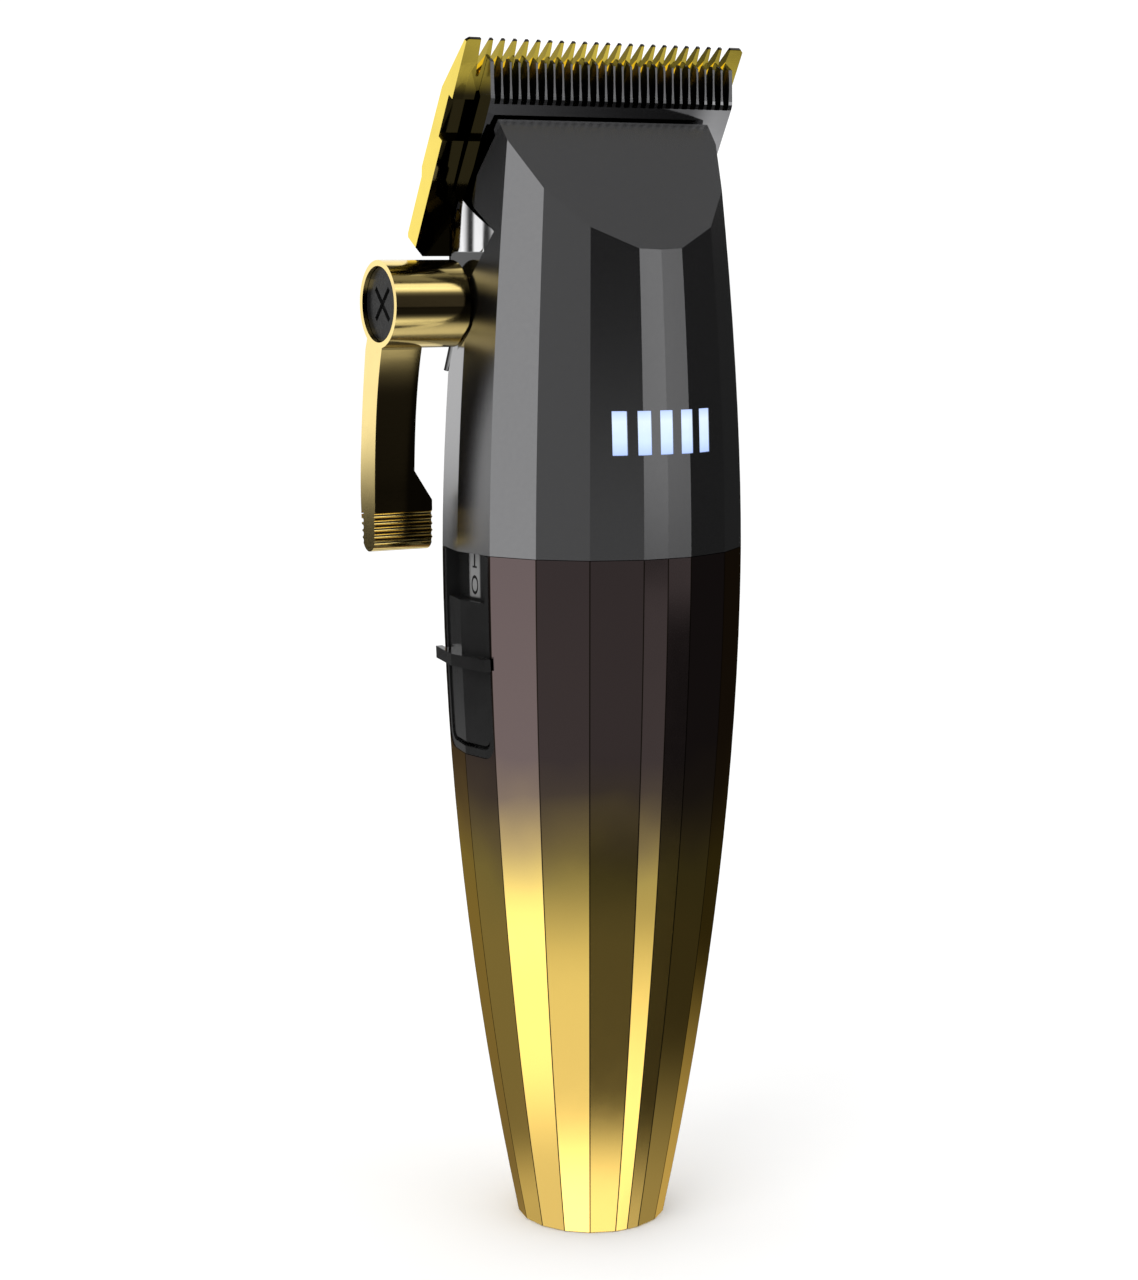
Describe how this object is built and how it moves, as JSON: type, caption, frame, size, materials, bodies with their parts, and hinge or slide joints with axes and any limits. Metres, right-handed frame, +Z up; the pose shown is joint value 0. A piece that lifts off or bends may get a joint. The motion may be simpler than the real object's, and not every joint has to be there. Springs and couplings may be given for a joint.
{
  "type": "hair clipper",
  "caption": "Cordless barber's hair clipper with a faceted spindle body, a taper lever that sets the cut and a slide power switch.",
  "frame": {"origin": "centre of the flat tail face, which the clipper stands on", "axes": "+Z up along the body towards the blades; -Y is the front with the scalloped cover; -X is the side with the taper lever and the power switch"},
  "size_m": [0.0559, 0.0447, 0.1779],
  "materials": {
    "lower_shell": "mirror-bright plating that fades from dark bronze at the seam to gold at the tail",
    "head_shell": "satin dark grey paint on cast metal",
    "frame_chrome": "polished",
    "gold_blade": "gold titanium-nitride coating, polished",
    "gold_lever": "gold plated, polished",
    "black_blade": "black diamond-like coating, glossy",
    "black_gloss": "glossy",
    "black_matte": "fine matte",
    "steel": "turned or pressed",
    "zinc_steel": "zinc plated",
    "copper_alloy": "plated",
    "magnet": "sintered",
    "armature": "wound copper on steel laminations",
    "board_green": "solder mask on glass-fibre board",
    "board_black": "solder mask on glass-fibre board",
    "parts_black": "moulded packages",
    "cell_wrap": "heat-shrink sleeve",
    "lens": "frosted clear plastic, lit from behind",
    "led": "moulded"
  },
  "bodies": {
    "body": {"lower_housing": "lower_shell", "head_housing": "head_shell", "seam_ring": "black_matte", "end_cap": "black_matte", "end_cap_screws": "zinc_steel", "dc_jack": "black_gloss", "charge_contacts": "copper_alloy", "chassis": "black_matte", "battery_cell": "cell_wrap", "cell_contacts": "steel", "main_board": "board_green", "board_parts": "parts_black", "indicator_board": "board_black", "indicator_leds": "led", "indicator_lens": "lens", "switch_bezel": "black_gloss", "switch_board": "board_green", "slide_switch": "steel", "motor_can": "steel", "motor_end_bell": "black_matte", "motor_magnets": "magnet", "motor_bracket": "zinc_steel", "motor_screws": "zinc_steel", "head_frame": "frame_chrome", "lever_bush": "copper_alloy", "fixed_blade": "gold_blade", "blade_screws": "zinc_steel"},
    "lever": {"taper_lever": "gold_lever", "lever_cap": "black_gloss", "lever_shaft": "steel", "lever_crank": "steel"},
    "carriage": {"blade_carriage": "black_matte", "tension_spring": "steel"},
    "cutter": {"moving_blade": "black_blade", "drive_yoke": "black_matte"},
    "rotor": {"motor_shaft": "steel", "eccentric": "steel", "eccentric_bearing": "steel", "motor_armature": "armature"},
    "switch": {"switch_slider": "black_gloss", "switch_nub": "parts_black"}
  },
  "joints": [
    {"name": "taper_lever_swing", "type": "hinge", "parent": "body", "child": "lever", "pos_m": [0, 0.00445, 0.14043], "axis": [-1, 0, 0], "range_deg": [0, 45]},
    {"name": "blade_height", "type": "slide", "parent": "body", "child": "carriage", "axis": [0, -0.515, 0.8572], "range_m": [0, 0.00243]},
    {"name": "blade_stroke", "type": "slide", "parent": "carriage", "child": "cutter", "axis": [1, 0, 0], "range_m": [-0.0023, 0]},
    {"name": "motor_spin", "type": "hinge", "parent": "body", "child": "rotor", "pos_m": [0, -0.001, 0.12], "axis": [0, 0, 1], "continuous": true},
    {"name": "power_switch", "type": "slide", "parent": "body", "child": "switch", "axis": [-0.0401, 0, 0.9992], "range_m": [0, 0.006]}
  ],
  "couplings": [
    {"joint": "taper_lever_swing", "follows": "blade_height", "rad_per_m": 322.58}
  ]
}
